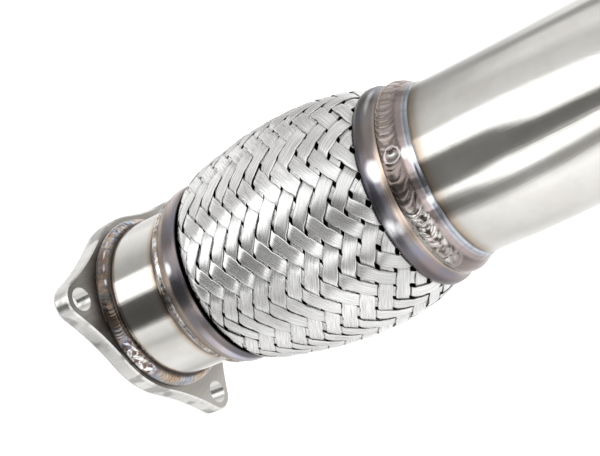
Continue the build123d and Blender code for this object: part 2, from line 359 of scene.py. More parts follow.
def cap_build(rim, up):
    """Pressed cap: dark blue-grey and brown heat tint, lavender where it is lighter, painted light and shade by angle
    from the camera side, painted highlights in a few places, and turned lines on the neck."""

    def build(g, vec, x, y, z, ang):
        u = g.math("MULTIPLY", g.math("SUBTRACT", z, rim), up)
        patch = g.noise(g.join(g.math("MULTIPLY", ang, 0.045), g.math("MULTIPLY", u, 0.10), 3.0 + up), 1.0, 3.0, 0.55)
        if up < 0:
            # painted light and shade: the cap's colour changes with the angle from the camera side
            col = by_angle(
                g,
                ang,
                [(-180, (0.24, 0.23, 0.24)), (-110, (0.46, 0.44, 0.46)), (-75, (0.74, 0.70, 0.73)), (-45, (0.22, 0.21, 0.22)), (-15, (0.14, 0.14, 0.14)), (15, (0.21, 0.20, 0.21)), (45, (0.61, 0.59, 0.61)), (75, (0.55, 0.52, 0.54)), (120, (0.33, 0.31, 0.32)), (180, (0.24, 0.23, 0.24))],
            )
            # painted shade near the rim, by angle from the camera side
            painted_shade_tone = by_angle(
                g,
                ang,
                [(-180, (0.20, 0.19, 0.20)), (-110, (0.30, 0.29, 0.30)), (-75, (0.47, 0.46, 0.48)), (-45, (0.25, 0.24, 0.26)), (-15, (0.16, 0.15, 0.16)), (15, (0.24, 0.23, 0.24)), (45, (0.17, 0.16, 0.17)), (75, (0.09, 0.08, 0.09)), (120, (0.13, 0.13, 0.14)), (180, (0.20, 0.19, 0.20))],
            )
            col = g.mix(g.step(u, 4.6, 2.9), col, painted_shade_tone)
            # painted highlight
            bright = spots(g, ang, u, [(-15, 6.8, 5.6, 3.0, 0.9)])
        else:
            # painted light and shade: the cap's colour changes with the angle from the camera side
            col = by_angle(
                g,
                ang,
                [(-180, (0.13, 0.13, 0.13)), (-110, (0.16, 0.16, 0.17)), (-75, (0.11, 0.11, 0.12)), (-45, (0.12, 0.12, 0.12)), (-15, (0.12, 0.11, 0.12)), (15, (0.21, 0.21, 0.22)), (45, (0.12, 0.11, 0.12)), (75, (0.10, 0.09, 0.10)), (120, (0.18, 0.18, 0.19)), (180, (0.13, 0.13, 0.13))],
            )
            # painted highlights
            bright = spots(g, ang, u, [(15, 2.6, 7.0, 3.6, 1.0), (17, 5.6, 5.0, 2.6, 0.8), (-15.5, 5.6, 8.0, 3.8, 1.0), (-13, 8.6, 5.0, 2.4, 0.8), (-66, 5.6, 18.0, 1.1, 0.4)])
        hue = g.noise(g.join(g.math("MULTIPLY", ang, 0.035), g.math("MULTIPLY", u, 0.09), 11.0 + up), 1.0, 2.0, 0.5)
        col = tinted(g, col, g.mix(g.step(hue, 0.36, 0.60), (0.92, 0.95, 1.08), (1.07, 0.98, 0.93)))
        col = g.mix(g.math("MULTIPLY", g.step(patch, 0.42, 0.62), 0.22), col, (0.16, 0.12, 0.10))
        # the painted highlights are weaker where the brown patches lie
        bright = g.math("MULTIPLY", bright, g.step(patch, 0.25, 0.5, 0.6, 1.0))
        col = g.mix(bright, col, (0.88, 0.88, 0.90))
        neck = g.step(u, 6.2, 8.2)
        if up > 0:
            # painted light and shade on the neck's edge, by angle from the camera side
            col = shade(
                g,
                col,
                ang,
                [(-180, 1.5), (-110, 1.43), (-75, 1.24), (-45, 1.67), (-15, 1.59), (15, 1.09), (45, 2.12), (75, 2.13), (120, 1.61), (180, 1.5)],
                g.step(u, 3.6, 5.9),
            )
            late = by_angle(g, ang, [(-180, 0.7), (-110, 0.81), (-75, 0.86), (-45, 0.9), (-15, 0.54), (15, 0.35), (45, 0.81), (75, 0.85), (120, 0.78), (180, 0.7)])
            neck = g.step(g.math("ADD", g.math("SUBTRACT", u, g.math("MULTIPLY", late, 3.4)), g.math("MULTIPLY", g.math("SUBTRACT", patch, 0.5), 2.0)), 4.2, 6.2)
        band_tone = g.mix(patch, (0.20, 0.155, 0.125), (0.34, 0.285, 0.25))
        col = g.mix(neck, col, band_tone)
        lines = ring_lines(g, z, ang, 2.2)
        fine = g.noise(vec, 900.0, 2.0, 0.6)
        col = g.mix(g.math("MULTIPLY", neck, 0.35), col, g.mix(g.step(lines, 0.35, 0.65), (0.13, 0.095, 0.08), (0.42, 0.36, 0.32)))
        if up > 0:
            # painted light and shade on the neck, by angle from the camera side
            col = shade(
                g,
                col,
                ang,
                [(-180, 1.0), (-110, 1.17), (-75, 1.23), (-45, 1.46), (-15, 2.28), (15, 2.14), (45, 1.45), (75, 1.3), (120, 1.06), (180, 1.0)],
                neck,
            )
        # painted shade in the mouth, by the braid
        col = g.mix(g.step(u, 0.7, 0.1), col, (0.05, 0.045, 0.045))
        rough = g.step(patch, 0.35, 0.7, 0.26, 0.17)
        return col, rough, [(lines, 0.16, 0.0007), (fine, 0.04, 0.0004)]

    return build


def weld_build(kind):
    def build(g, vec, x, y, z, ang):
        n1 = g.noise(vec, 260.0, 3.0, 0.6)
        n2 = g.noise(vec, 900.0, 3.0, 0.65)
        light, across, _ = g.split(g.add("ShaderNodeUVMap", uv_map="relief").outputs[0])
        crest = g.step(light, 0.25, 0.8)
        if kind == "flange":
            # painted light and shade: the bead's colour changes with the angle from the camera side
            col = by_angle(
                g,
                ang,
                [(-180, (0.31, 0.29, 0.27)), (-110, (0.41, 0.38, 0.35)), (-75, (0.63, 0.59, 0.55)), (-45, (0.21, 0.19, 0.18)), (-15, (0.04, 0.04, 0.04)), (15, (0.39, 0.36, 0.34)), (45, (0.41, 0.38, 0.36)), (75, (0.58, 0.54, 0.50)), (120, (0.40, 0.37, 0.35)), (180, (0.31, 0.29, 0.27))],
            )
            heat = g.noise(g.join(g.math("MULTIPLY", ang, 0.06), g.math("MULTIPLY", z, 0.15), 3.0), 1.0, 2.0, 0.55)
            col = tinted(
                g,
                col,
                g.ramp(heat, [(0.36, (0.78, 0.90, 1.18)), (0.45, (0.98, 0.98, 1.02)), (0.53, (1.12, 0.99, 0.88)), (0.62, (1.22, 0.95, 0.70)), (0.72, (1.06, 0.90, 1.02))]),
            )
            # painted shade in the ripple valleys
            col = g.mix(g.math("MULTIPLY", g.math("SUBTRACT", 1.0, crest), 0.75), col, g.mix(0.75, col, (0.03, 0.024, 0.022)))
            speck = g.ramp(
                g.noise(g.join(g.math("MULTIPLY", ang, 0.22), g.math("MULTIPLY", z, 0.42), 5.0), 1.0, 2.0, 0.6),
                [(0.34, (0.12, 0.10, 0.16)), (0.42, (0.26, 0.40, 0.60)), (0.49, (0.80, 0.83, 0.86)), (0.56, (0.58, 0.48, 0.45)), (0.63, (0.84, 0.44, 0.22)), (0.72, (0.24, 0.14, 0.12))],
            )
            col = g.mix(by_angle(g, ang, [(-180, 0.0), (-100, 0.0), (-90, 0.75), (-66, 0.65), (-57, 0.30), (-46, 0.12), (-30, 0.08), (-14, 0.0), (180, 0.0)]), col, speck)
            # painted highlight: a bright streak along the bead
            streak = spots(g, ang, z, [(-56, 11.2, 4.0, 0.6, 0.9), (-47, 11.5, 5.0, 0.6, 1.0), (-37, 11.9, 4.0, 0.6, 1.0), (-27, 12.4, 3.0, 0.5, 0.9)])
            col = g.mix(g.math("MULTIPLY", streak, g.step(n1, 0.35, 0.55, 0.45, 1.0)), col, (0.80, 0.82, 0.85))
            # painted shade between the pearls and painted highlights on their tops
            pearls = by_angle(g, ang, [(-180, 0.0), (13, 0.0), (17, 1.0), (40, 1.0), (45, 0.0), (180, 0.0)])
            col = g.mix(g.math("MULTIPLY", pearls, g.step(light, 0.50, 0.05, 0.0, 0.85)), col, (0.24, 0.15, 0.11))
            col = g.mix(g.math("MULTIPLY", pearls, g.step(light, 0.45, 1.0)), col, (0.92, 0.90, 0.88))
            col = g.mix(g.math("MULTIPLY", g.step(n1, 0.50, 0.64), 0.45), col, g.mix(n2, (0.07, 0.055, 0.05), (0.30, 0.17, 0.08)))
            # painted shade in the corners: the toe on the plate runs dark, and the toe on the tube is darker too
            col = g.mix(g.step(z, FLANGE_T + 1.2, FLANGE_T + 0.3), col, (0.05, 0.042, 0.04))
            col = g.mix(g.step(z, FLANGE_T + 5.0, FLANGE_T + 5.5), col, (0.15, 0.13, 0.12))
            rough = g.step(n1, 0.3, 0.7, 0.12, 0.24)
        elif kind == "lower":
            col = g.ramp(
                n1,
                [(0.30, (0.20, 0.15, 0.12)), (0.45, (0.35, 0.295, 0.25)), (0.55, (0.51, 0.50, 0.50)), (0.7, (0.59, 0.57, 0.53))],
            )
            # painted light and shade by angle from the camera side
            col = shade(
                g,
                col,
                ang,
                [(-180, 0.7), (-110, 1.57), (-75, 3.04), (-45, 1.91), (-15, 0.99), (15, 0.76), (45, 1.14), (75, 1.23), (120, 1.03), (180, 0.7)],
            )
            # painted shade in the ripple valleys
            col = g.mix(g.math("MULTIPLY", g.math("SUBTRACT", 1.0, crest), 0.5), col, (0.10, 0.08, 0.075))
            # painted highlights
            bright = spots(g, ang, z, [(-18, 44.4, 3.6, 1.6, 1.0), (-52, 44.0, 6.0, 1.0, 0.6), (30, 43.6, 12.0, 0.6, 0.45)])
            col = g.mix(bright, col, (0.80, 0.79, 0.80))
            col = g.mix(g.step(z, 41.8, 40.4), col, (0.20, 0.165, 0.14))
            rough = g.step(n1, 0.3, 0.7, 0.12, 0.22)
        else:
            u = g.math("SUBTRACT", z, UPPER_RIM)
            col = g.ramp(
                g.math("DIVIDE", g.math("SUBTRACT", u, 8.0), 14.2, clamp=True),
                [
                    (0.00, (0.20, 0.155, 0.13)),
                    (0.10, (0.27, 0.215, 0.185)),
                    (0.30, (0.33, 0.275, 0.255)),
                    (0.52, (0.30, 0.25, 0.235)),
                    (0.64, (0.20, 0.165, 0.155)),
                    (0.80, (0.20, 0.17, 0.17)),
                    (0.88, (0.28, 0.29, 0.33)),
                    (0.96, (0.46, 0.49, 0.54)),
                    (1.00, (0.38, 0.40, 0.43)),
                ],
            )
            on_bead = g.math("MULTIPLY", g.step(u, 8.4, 9.4), g.step(u, 18.2, 16.8))
            on_band = g.math("MULTIPLY", g.step(u, 16.8, 18.2), g.step(u, 20.8, 20.0))
            on_toe = g.step(u, 20.0, 20.8)
            # painted light and shade by angle from the camera side, on the bead, the band and the toe
            col = shade(
                g,
                col,
                ang,
                [(-180, 1.1), (-110, 1.59), (-75, 1.46), (-45, 0.82), (-15, 0.68), (15, 0.44), (45, 0.51), (75, 0.91), (120, 0.94), (180, 1.1)],
                on_bead,
            )
            col = shade(
                g,
                col,
                ang,
                [(-180, 1.0), (-110, 1.14), (-75, 1.46), (-45, 1.4), (-15, 1.84), (15, 1.87), (45, 1.96), (75, 1.52), (120, 1.0), (180, 1.0)],
                on_band,
            )
            col = shade(
                g,
                col,
                ang,
                [(-180, 1.0), (-110, 0.76), (-75, 0.9), (-45, 0.74), (-15, 0.67), (15, 0.63), (45, 1.15), (75, 1.14), (120, 1.0), (180, 1.0)],
                on_toe,
            )
            # painted shade in the ripple valleys
            valley_shade = g.math("MULTIPLY", g.math("MULTIPLY", on_bead, g.step(light, 0.42, 0.16)), 0.85)
            col = g.mix(valley_shade, col, (0.055, 0.042, 0.036))
            # painted highlights on the ripple crests, their colour set by angle from the camera side
            shine = g.math("MULTIPLY", g.math("MULTIPLY", on_bead, g.step(light, 0.55, 0.95)), by_angle(g, ang, [(-180, 0.7), (10, 0.7), (18, 0.95), (30, 0.8), (40, 0.6), (50, 0.7), (180, 0.7)]))
            tint = by_angle(
                g,
                ang,
                [(-180, (0.50, 0.46, 0.45)), (-110, (0.63, 0.58, 0.56)), (-75, (0.67, 0.62, 0.60)), (-45, (0.66, 0.61, 0.59)), (-15, (0.59, 0.54, 0.53)), (15, (0.74, 0.68, 0.66)), (45, (0.74, 0.68, 0.66)), (75, (0.40, 0.37, 0.36)), (120, (0.42, 0.38, 0.37)), (180, (0.50, 0.46, 0.45))],
            )
            col = g.mix(shine, col, tint)
            # a glassy, many-coloured stretch on the lower side; its white and dark specks are painted highlights and
            # shade on the stones
            glass = g.ramp(
                g.noise(g.join(g.math("MULTIPLY", ang, 0.21), g.math("MULTIPLY", u, 0.52), 7.0), 1.0, 2.0, 0.6),
                [(0.34, (0.16, 0.13, 0.12)), (0.42, (0.62, 0.60, 0.56)), (0.48, (0.90, 0.91, 0.82)), (0.53, (0.50, 0.55, 0.49)), (0.58, (0.90, 0.86, 0.88)), (0.64, (0.55, 0.37, 0.42)), (0.72, (0.20, 0.15, 0.13))],
            )
            where = by_angle(g, ang, [(-180, 0.0), (9, 0.0), (15, 0.60), (32, 0.55), (42, 0.30), (52, 0.25), (58, 0.0), (180, 0.0)])
            col = g.mix(g.math("MULTIPLY", g.math("MULTIPLY", on_bead, where), g.step(light, 0.30, 0.60)), col, glass)
            mark = spots(g, ang, u, [(-20, 14.2, 2.4, 1.9, 0.85)])
            col = g.mix(mark, col, (0.52, 0.56, 0.50))
            # painted highlights at the toe
            col = g.mix(spots(g, ang, u, [(-17, 20.8, 7.5, 2.6, 1.0), (-19, 18.6, 4.6, 1.9, 0.9), (10.5, 20.8, 4.4, 1.8, 1.0)]), col, (0.82, 0.84, 0.87))
            col = g.mix(g.math("MULTIPLY", g.step(n1, 0.5, 0.65), 0.25), col, g.mix(n2, (0.13, 0.09, 0.075), (0.36, 0.28, 0.24)))
            rough = g.math("MULTIPLY", g.step(n1, 0.3, 0.7, 0.13, 0.24), by_angle(g, ang, [(-180, 1.0), (8, 1.0), (16, 0.5), (50, 0.55), (60, 1.0), (180, 1.0)]))
        return col, rough, [(n2, 0.08, 0.0004)]

    return build


def flange_build(g, vec, x, y, z, ang):
    """Satin plate: rolled face with painted light and shade by angle from the camera side, dark towards the bead, and a
    smooth cut edge.
    """
    geo = g.add("ShaderNodeNewGeometry")
    nz = g.split(geo.outputs["Normal"])[2]
    flat = g.step(g.math("ABSOLUTE", nz), 0.8, 0.97)
    rolled = g.noise(g.scaled(vec, 60, 900, 60), 1.0, 3.0, 0.6)
    cloud = g.noise(vec, 45.0, 3.0, 0.6)
    r = g.math("MULTIPLY", g.math("SQRT", g.math("ADD", g.math("MULTIPLY", x, x), g.math("MULTIPLY", y, y))), 1000.0)
    # painted light and shade: the face's colour changes with the angle from the camera side
    far = by_angle(
        g,
        ang,
        [(-180, (0.45, 0.44, 0.43)), (-110, (0.63, 0.61, 0.59)), (-75, (0.75, 0.73, 0.70)), (-45, (0.55, 0.53, 0.52)), (-15, (0.22, 0.22, 0.21)), (15, (0.15, 0.15, 0.14)), (45, (0.38, 0.37, 0.35)), (75, (0.74, 0.72, 0.69)), (120, (0.69, 0.67, 0.65)), (180, (0.45, 0.44, 0.43))],
    )
    near = by_angle(
        g,
        ang,
        [(-180, (0.29, 0.27, 0.25)), (-110, (0.43, 0.41, 0.38)), (-75, (0.50, 0.47, 0.45)), (-45, (0.18, 0.17, 0.16)), (-15, (0.08, 0.07, 0.07)), (15, (0.10, 0.09, 0.09)), (45, (0.24, 0.23, 0.22)), (75, (0.55, 0.53, 0.49)), (120, (0.49, 0.46, 0.44)), (180, (0.29, 0.27, 0.25))],
    )
    face = g.mix(g.step(r, 44.0, 54.0), near, far)
    face = g.mix(g.math("MULTIPLY", g.step(cloud, 0.35, 0.7), 0.18), face, (0.70, 0.68, 0.65))
    face = g.mix(g.math("MULTIPLY", g.step(rolled, 0.4, 0.7), 0.10), face, (0.10, 0.095, 0.09))
    cut = g.noise(g.join(g.math("MULTIPLY", ang, 1.6), g.math("MULTIPLY", z, 0.04), 0.0), 1.0, 3.0, 0.7)
    broad = g.noise(g.join(g.math("MULTIPLY", ang, 0.085), g.math("MULTIPLY", z, 0.07), 2.0), 1.0, 2.0, 0.5)
    edge = g.mix(g.step(cut, 0.3, 0.7), (0.66, 0.65, 0.63), (0.78, 0.775, 0.76))
    edge = g.mix(g.math("MULTIPLY", g.step(broad, 0.50, 0.60), 0.6), edge, (0.22, 0.215, 0.205))
    waist = g.math("MULTIPLY", spots(g, ang, z, [(5, 3.0, 17.0, 5.5, 0.55)]), g.step(broad, 0.38, 0.55, 0.55, 1.0))
    edge = g.mix(waist, edge, (0.20, 0.195, 0.19))
    col = g.mix(flat, edge, face)
    rough = g.math("ADD", g.step(rolled, 0.3, 0.7, 0.24, 0.34), g.math("MULTIPLY", cut, 0.04))
    return col, rough, [(rolled, 0.03, 0.0005), (g.math("MULTIPLY", cut, g.math("SUBTRACT", 1.0, flat)), 0.05, 0.0005)]


def bellows_build(g, vec, x, y, z, ang):
    n = g.noise(vec, 160.0, 3.0, 0.6)
    lines = ring_lines(g, z, ang, 1.2)
    # painted shade: the steel bellows is coloured near black, as it lies in the braid's shadow
    col = g.mix(n, (0.018, 0.017, 0.016), (0.05, 0.045, 0.042))
    return col, g.step(lines, 0.3, 0.7, 0.45, 0.6), [(lines, 0.1, 0.0006)]


def liner_build(g, vec, x, y, z, ang):
    n = g.noise(vec, 120.0, 3.0, 0.6)
    lines = ring_lines(g, z, ang, 1.6)
    col = g.mix(n, (0.34, 0.31, 0.28), (0.48, 0.45, 0.42))
    return col, g.step(lines, 0.3, 0.7, 0.30, 0.45), [(lines, 0.1, 0.0006)]


def braid_build(seed):
    def build(g, vec, x, y, z, ang):
        uv = g.add("ShaderNodeUVMap", uv_map="strand").outputs[0]
        along, across, _ = g.split(uv)
        # across counts ribbons from 0 to 24, so its whole part names the ribbon
        ribbon = g.math("FLOOR", across)
        wire = g.noise(g.join(g.math("MULTIPLY", along, 0.10), g.math("MULTIPLY", across, 22.0), seed), 1.0, 2.0, 0.6)
        streak = g.noise(g.join(g.math("MULTIPLY", along, 0.25), g.math("MULTIPLY", across, 9.0), seed + 5.0), 1.0, 2.0, 0.6)
        tone = g.noise(g.join(g.math("MULTIPLY", ribbon, 3.7), g.math("MULTIPLY", along, 0.03), seed + 9.0), 1.0, 1.0, 0.5)
        col = g.mix(g.step(wire, 0.36, 0.62), (0.60, 0.595, 0.59), (0.95, 0.95, 0.95))
        col = g.mix(g.math("MULTIPLY", g.step(tone, 0.35, 0.65), 0.35), col, (0.52, 0.515, 0.51))
        # painted shade: near black where the wires come out of the lower cap, dark where they go into the upper cap
        col = g.mix(g.step(z, LOWER_RIM + 3.3, LOWER_RIM + 1.9), col, (0.012, 0.011, 0.011))
        col = g.mix(g.step(z, UPPER_RIM - 0.9, UPPER_RIM - 0.2), col, (0.05, 0.048, 0.048))
        # painted shade where a ribbon dives under the next one; most of the strip seen
        # between the two ribbons above it stays bright
        place, rim, _ = g.split(g.add("ShaderNodeUVMap", uv_map="weave").outputs[0])
        turn = g.math("DIVIDE", place, 4.0)
        lap = g.math("FLOOR", turn)
        under = g.math("MULTIPLY", g.math("ABSOLUTE", g.math("SUBTRACT", g.math("SUBTRACT", turn, lap), 0.5)), 4.0)
        pick = g.add("ShaderNodeTexWhiteNoise", {"Vector": g.join(ribbon, lap, seed)}, noise_dimensions="3D").outputs["Value"]
        strip = g.math("MULTIPLY", g.step(under, 0.34, 0.20), g.step(pick, 0.45, 0.9, 0.98, 0.15))
        under_shade = g.math("MULTIPLY", g.step(under, 1.01, 0.94), g.math("SUBTRACT", 1.0, strip))
        depth = g.add("ShaderNodeTexWhiteNoise", {"Vector": g.join(lap, ribbon, seed + 3.0)}, noise_dimensions="3D").outputs["Value"]
        # the painted shade is weaker at the steep ribbons' ends on the upper side
        shade_fade = by_angle(g, ang, [(-180, 0.8), (-60, 0.25), (-20, 0.35), (10, 0.75), (40, 0.9), (180, 0.8)]) if seed > 2 else 1.0
        under_shade = g.math("MULTIPLY", under_shade, shade_fade)
        col = g.mix(g.math("MULTIPLY", under_shade, g.step(depth, 0.0, 1.0, 0.30, 0.95)), col, (0.022, 0.021, 0.020))
        # painted shade along the ribbons' edges
        col = g.mix(g.math("MULTIPLY", g.step(rim, 0.90, 1.0), 0.28), col, (0.20, 0.20, 0.20))
        # painted shade by the upper cap, on the side that faces the camera
        painted_shade_tone = g.math("MULTIPLY", g.step(z, 126.0, 146.0), by_angle(g, ang, [(-180, 0.0), (-22, 0.0), (-8, 0.35), (6, 0.42), (26, 0.42), (34, 0.6), (42, 0.5), (52, 0.15), (64, 0.0), (180, 0.0)]))
        col = g.mix(painted_shade_tone, col, g.mix(tone, (0.14, 0.138, 0.135), (0.42, 0.415, 0.41)))
        # painted shade by angle from the camera side, near the upper cap and lower down
        col = shade(g, col, ang, [(-180, 1.0), (-66, 1.0), (-54, 0.86), (-34, 0.82), (-20, 0.68), (-6, 0.84), (4, 0.94), (14, 1.0), (180, 1.0)], g.step(z, 114.0, 142.0))
        col = shade(g, col, ang, [(-180, 1.0), (8, 1.0), (16, 0.76), (28, 0.76), (42, 0.90), (60, 1.0), (180, 1.0)], g.step(z, 118.0, 96.0))
        rough = g.step(streak, 0.3, 0.7, 0.22, 0.28)
        return col, rough, [(wire, 0.04, 0.0004)]

    return build


def combed(mat):
    """Highlights that spread across the wires, as on a bundle of fine wire."""
    tree = mat.node_tree
    bsdf = next(n for n in tree.nodes if n.type == "BSDF_PRINCIPLED")
    bsdf.inputs["Metallic"].default_value = 0.86
    bsdf.inputs["Anisotropic"].default_value = 0.50
    bsdf.inputs["Anisotropic Rotation"].default_value = 0.25
    tangent = tree.nodes.new("ShaderNodeTangent")
    tangent.direction_type = "UV_MAP"
    tangent.uv_map = "strand"
    tree.links.new(tangent.outputs[0], bsdf.inputs["Tangent"])
    return mat


M_FLANGE = metal("flange_plate", flange_build)
M_TUBE_LO = metal("flange_tube_steel", tube_build(FLANGE_T + 5.6, LOWER_RIM - 18.5, 3.0, 1.7))
M_PIPE = metal("main_pipe_steel", tube_build(UPPER_RIM + 22.2, None))
M_CAP_LO = metal("lower_cap_steel", cap_build(LOWER_RIM, -1.0))
M_CAP_HI = metal("upper_cap_steel", cap_build(UPPER_RIM, 1.0))
M_WELD_F = metal("flange_bead", weld_build("flange"))
M_WELD_LO = metal("lower_bead", weld_build("lower"))
M_WELD_HI = metal("upper_bead", weld_build("upper"))
M_BELLOWS = metal("bellows_steel", bellows_build)
M_LINER = metal("liner_steel", liner_build)
M_BRAID_A = combed(metal("braid_wire_a", braid_build(1.0)))
M_BRAID_B = combed(metal("braid_wire_b", braid_build(4.0)))

# ------------------------------------------------------------------ tubes
def tube_loop(z0, z1, r_in, r_out, n, lip=0.2):
    out_z = np.linspace(z0 + lip, z1 - lip, n)
    loop = [(r_out - lip, z0)] + [(r_out, v) for v in out_z] + [(r_out - lip, z1), (r_in + lip, z1)]
    loop += [(r_in, v) for v in out_z[::-1]] + [(r_in + lip, z0)]
    return loop


flange_tube = turned("flange_tube_skin", tube_loop(1.5, LOWER_RIM - INSERT, BORE_R, PIPE_R, 12), seg=192)
paint(flange_tube, M_TUBE_LO)
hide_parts("flange_tube")
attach(flange_tube, "flange_end")


def pipe_mesh():
    """Straight, bend and tail, outside and inside, with rolled end edges."""
    z0 = UPPER_RIM + INSERT
    a = math.radians(BEND_DEG)
    stations = []
    for v in np.linspace(0, BEND_START - z0, 14)[:-1]:
        stations.append((np.array([0, 0, z0 + v]), 0.0))
    for t in np.linspace(0, a, 46):
        stations.append((np.array([BEND_R * (1 - math.cos(t)), 0, BEND_START + BEND_R * math.sin(t)]), t))
    end = stations[-1][0]
    d = np.array([math.sin(a), 0, math.cos(a)])
    for v in np.linspace(0, TAIL, 16)[1:]:
        stations.append((end + d * v, a))
    seg = 176
    th = np.linspace(0, 2 * math.pi, seg, endpoint=False)
    rings = []

    def ring(c, t, r, shift=0.0):
        e1 = np.array([math.cos(t), 0, -math.sin(t)])
        e2 = np.array([0, 1, 0])
        ax = np.array([math.sin(t), 0, math.cos(t)])
        return c + ax * shift + r * (np.cos(th)[:, None] * e1 + np.sin(th)[:, None] * e2)

    lip = 0.25
    c0, t0 = stations[0]
    c1, t1 = stations[-1]
    rings.append(ring(c0, t0, PIPE_R - lip))
    for i, (c, t) in enumerate(stations):
        shift = lip if i == 0 else (-lip if i == len(stations) - 1 else 0.0)
        rings.append(ring(c, t, PIPE_R, shift))
    rings.append(ring(c1, t1, PIPE_R - lip))
    rings.append(ring(c1, t1, BORE_R + lip))
    for i, (c, t) in list(enumerate(stations))[::-1]:
        shift = lip if i == 0 else (-lip if i == len(stations) - 1 else 0.0)
        rings.append(ring(c, t, BORE_R, shift))
    rings.append(ring(c0, t0, BORE_R + lip))
    pts = np.concatenate(rings)
    return make_mesh("main_pipe_skin", pts, grid_faces(len(rings), seg, True, True, flip=True))


main_pipe = pipe_mesh()
paint(main_pipe, M_PIPE)
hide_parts("main_pipe")
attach(main_pipe, "pipe_end")

# ------------------------------------------------------------------ caps
LOWER_CAP_LINE = [(0.5, 42.9), (2.0, 43.3), (7.0, 43.35), (9.3, 42.7), (12.0, 41.5)]
UPPER_CAP_LINE = [(0.5, 44.1), (2.0, 44.6), (4.2, 44.3), (7.0, 42.5), (12.0, 41.5)]


def cap_piece(name, rim, up, line, lip_in, lip_depth, crimp_u):
    u, r = smooth_line(line, 0.4)
    r0 = line[0][1]
    pts = [(lip_in + 0.15, 0.0), (r0 - 0.5, 0.0), (r0 - 0.14, 0.15)]
    pts += list(zip(r, u))
    pts += [(39.65, CAP_L), (39.65, crimp_u), (lip_in, lip_depth), (lip_in, 0.15)]
    pts = [(a, rim + up * b) for a, b in pts]
    if up < 0:
        pts = pts[::-1]
    return turned(name, pts, seg=224)


lower_cap = cap_piece("lower_cap_shell", LOWER_RIM, -1, LOWER_CAP_LINE, 42.1, 3.0, 5.2)
paint(lower_cap, M_CAP_LO)
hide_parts("lower_cap")
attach(lower_cap, "flange_end")
upper_cap = cap_piece("upper_cap_shell", UPPER_RIM, 1, UPPER_CAP_LINE, 43.3, 2.2, 7.6)
paint(upper_cap, M_CAP_HI)
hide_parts("upper_cap")
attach(upper_cap, "pipe_end")


# ------------------------------------------------------------------ beads
def facing_deg(th):
    """Angle from the side that faces the camera, -180 to 180 degrees."""
    return (np.degrees(th) - FACING + 180.0) % 360.0 - 180.0


def bell(x, c, w):
    return np.exp(-(((x - c) / w) ** 2))


def wave(phase):
    """One ripple per unit of phase: a round crest and a sharp valley."""
    f = phase % 1.0
    return np.sqrt(np.clip(1.0 - (2 * f - 1.0) ** 2, 0, 1)) - 0.6


def lumps(th, scale, seed):
    """Smooth random wander round the ring, zero mean."""
    r = np.random.default_rng(seed)
    out = 0
    for k in range(1, 9):
        out = out + r.normal() / k**0.5 * np.cos(scale * k * th + r.uniform(0, 6.28))
    return out / 3.0


def bead(name, crown, back, seg, ripple):
    """Closed ring of the crown line, pushed out along its normal by ripple.
    ripple gives the height in mm and how light the metal is there, 0 to 1."""
    c = np.asarray(crown, float)
    d = np.gradient(c, axis=0)
    n = np.stack([d[:, 1], -d[:, 0]], -1)
    n /= np.linalg.norm(n, axis=1)[:, None]
    if n[len(n) // 2, 0] < 0:
        n = -n
    th = np.linspace(0, 2 * math.pi, seg, endpoint=False)[:, None]
    s = np.linspace(0, 1, len(c))[None, :]
    h, light = ripple(th, s)
    r = c[None, :, 0] + n[None, :, 0] * h
    z = c[None, :, 1] + n[None, :, 1] * h
    br = np.repeat(np.array([[b[0] for b in back]]), seg, 0)
    bz = np.repeat(np.array([[b[1] for b in back]]), seg, 0)
    r, z = np.concatenate([r, br], 1), np.concatenate([z, bz], 1)
    pts = np.stack([r * np.cos(th), r * np.sin(th), z], -1)
    loop = np.concatenate([c, np.asarray(back)])
    area = np.sum(loop[:, 0] * np.roll(loop[:, 1], -1) - np.roll(loop[:, 0], -1) * loop[:, 1])
    obj = make_mesh(name, pts.reshape(-1, 3), grid_faces(seg, len(loop), True, True, flip=bool(area < 0)))
    light = np.clip(light + 0 * h, 0, 1)
    u = np.concatenate([light, np.full_like(br, 0.5)], 1)
    v = np.concatenate([s + 0 * h, np.full_like(br, 1.0)], 1)
    add_uv(obj, "relief", np.stack([u, v], -1).reshape(-1, 2))
    return obj


def add_uv(obj, name, per_vertex):
    layer = obj.data.uv_layers.new(name=name)
    loops = np.empty(len(obj.data.loops), np.int32)
    obj.data.loops.foreach_get("vertex_index", loops)
    layer.data.foreach_set("uv", per_vertex[loops].astype(np.float32).ravel())


def gate(x, lo, hi, soft):
    """1 between lo and hi, 0 outside, with soft sides."""
    return 1 / (1 + np.exp((lo - x) / soft)) / (1 + np.exp((x - hi) / soft))


def each(phase, seed):
    """A steady random value, 0 to 1, for each whole number of phase."""
    v = np.sin(np.floor(phase) * 12.9898 + seed * 78.233) * 43758.5453
    return v - np.floor(v)


def pebbles(th, s, per_turn, per_width, seed):
    """Rounded lumps on a jittered grid, 0 to 1 high."""
    a = th / (2 * math.pi) * per_turn
    b = s * per_width + 0.5 * (np.floor(a) % 2)
    ja = each(a, seed + 1) * 0.3
    fa = (a + 0.35 * np.sin(6.283 * b * 0.5 + seed)) % 1.0 - 0.5
    fb = (b + ja) % 1.0 - 0.5
    big = 0.45 + 0.55 * each(np.floor(a) * 7.0 + np.floor(b + ja) * 3.0, seed + 2)
    return big * np.sqrt(np.clip(1 - 4 * (fa**2 + fb**2) * 0.9, 0, 1))


# fillet on the flange
a0 = np.linspace(0, 1, 19)
p0, p1, p2 = np.array([42.1, FLANGE_T + 0.02]), np.array([PIPE_R + 3.9, FLANGE_T + 5.0]), np.array([PIPE_R + 0.02, FLANGE_T + 5.6])
fillet = (1 - a0)[:, None] ** 2 * p0 + 2 * (a0 * (1 - a0))[:, None] * p1 + (a0**2)[:, None] * p2


